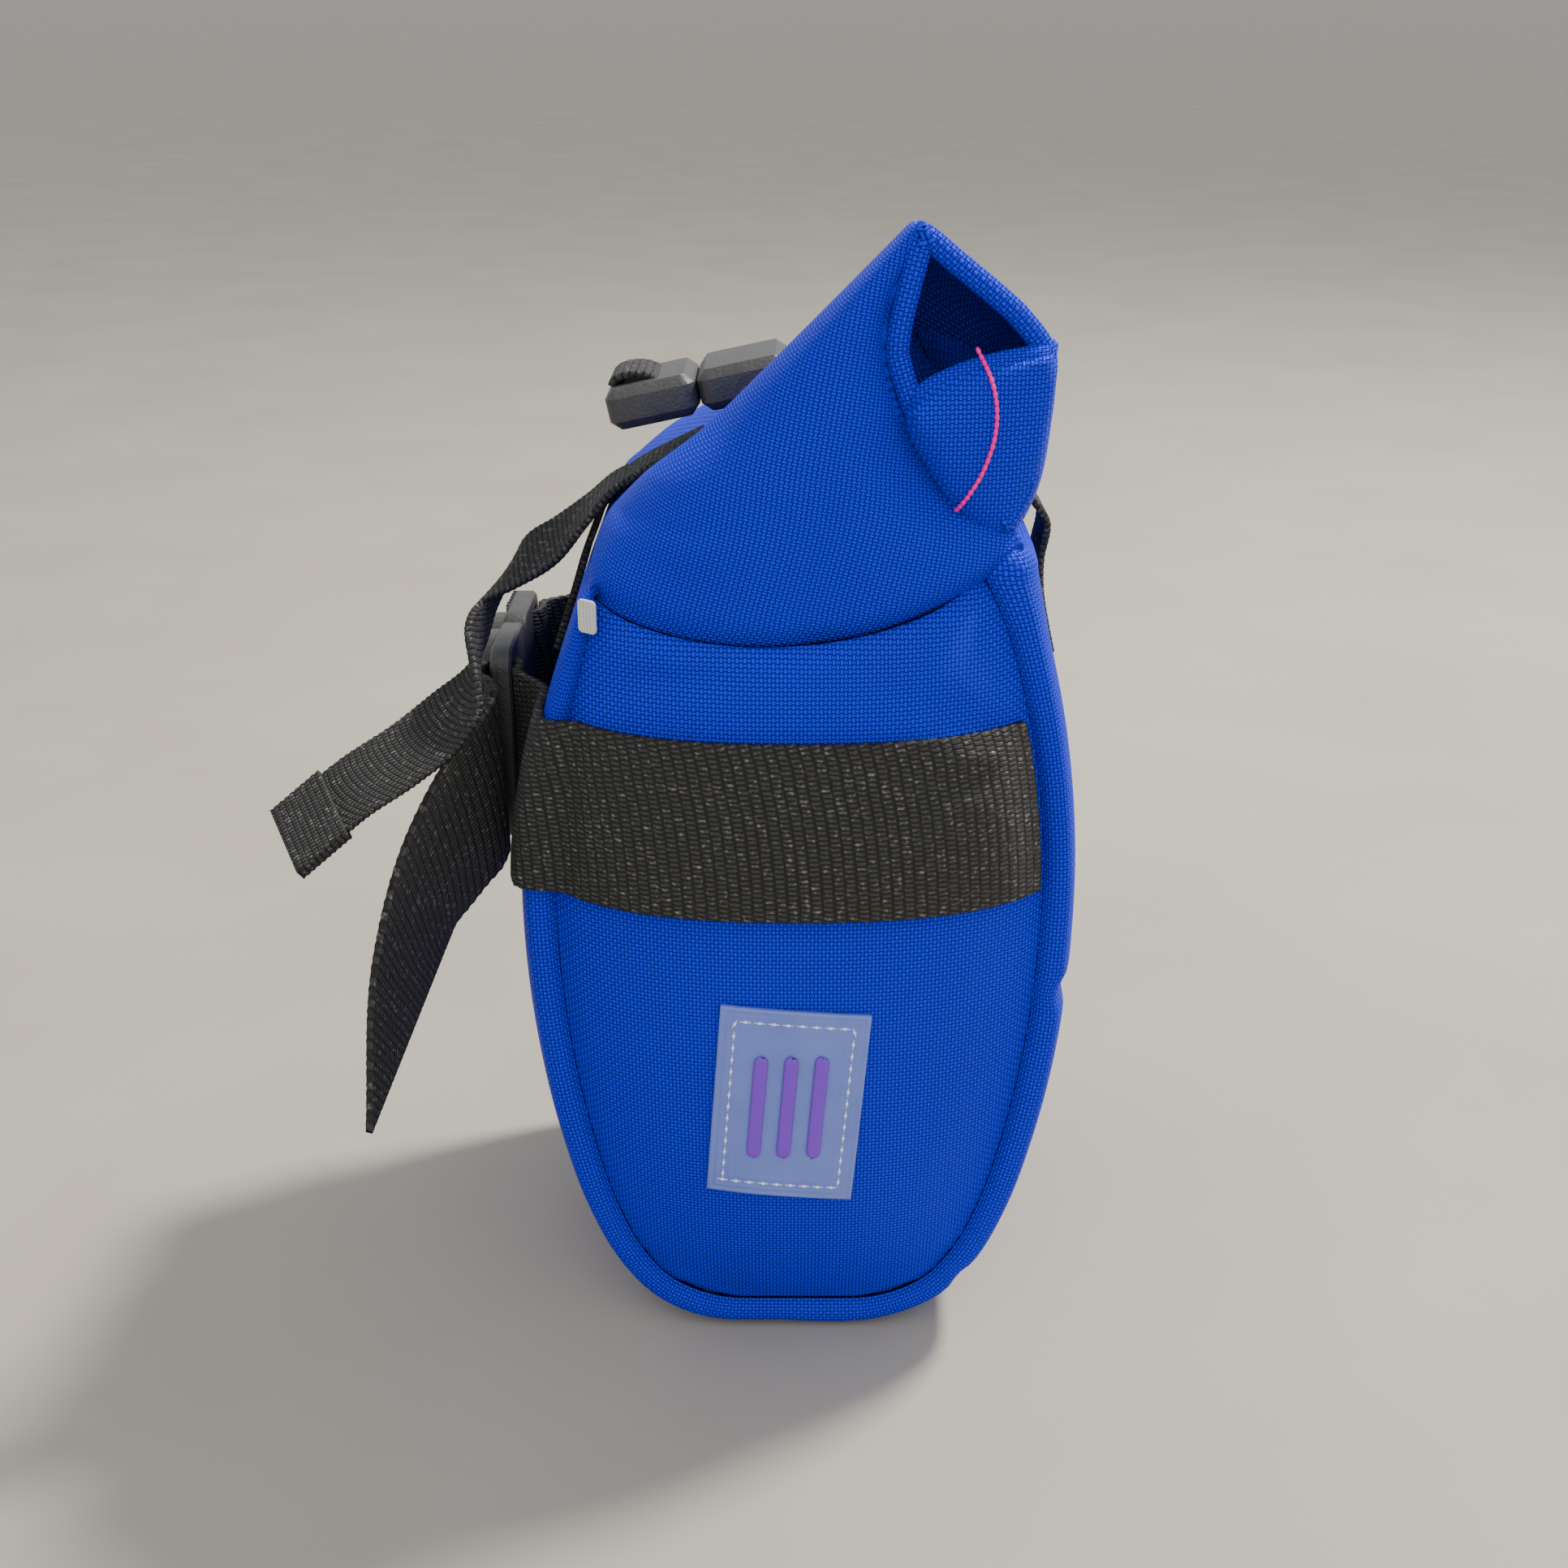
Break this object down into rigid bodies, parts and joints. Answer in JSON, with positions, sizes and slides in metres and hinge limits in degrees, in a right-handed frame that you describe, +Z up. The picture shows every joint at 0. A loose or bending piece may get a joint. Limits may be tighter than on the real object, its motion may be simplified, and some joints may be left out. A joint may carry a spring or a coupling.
{
  "type": "bicycle saddle bag",
  "caption": "Roll-top nylon saddle bag standing on its rounded end, with a wide mounting strap, a narrow closing strap and side-release buckles.",
  "frame": {"origin": "middle of the flat strip under the bag that it rests on", "axes": "+Z up, +X to the right and +Y from the front panel to the back panel"},
  "size_m": [0.1723, 0.1316, 0.2526],
  "materials": {
    "nylon": "coated plain-weave nylon, slightly glossy",
    "webbing": "coarse black webbing",
    "buckle_plastic": "fine-textured moulded plastic",
    "patch_plastic": "frosted translucent plastic",
    "patch_print": "raised purple print",
    "tab_tape": "off-white tape"
  },
  "bodies": {
    "root": {"front_panel": "nylon", "back_panel": "nylon", "gusset": "nylon", "collar": "nylon", "mount_strap": "webbing", "mount_strap_back": "webbing", "mount_buckle_clip": "buckle_plastic", "mount_buckle_socket": "buckle_plastic", "closure_strap": "webbing", "closure_strap_right": "webbing", "closure_buckle_clip": "buckle_plastic", "closure_buckle_socket": "buckle_plastic", "label_patch": "patch_plastic", "label_bar_1": "patch_print", "label_bar_2": "patch_print", "label_bar_3": "patch_print", "side_tab": "tab_tape"}
  },
  "joints": []
}
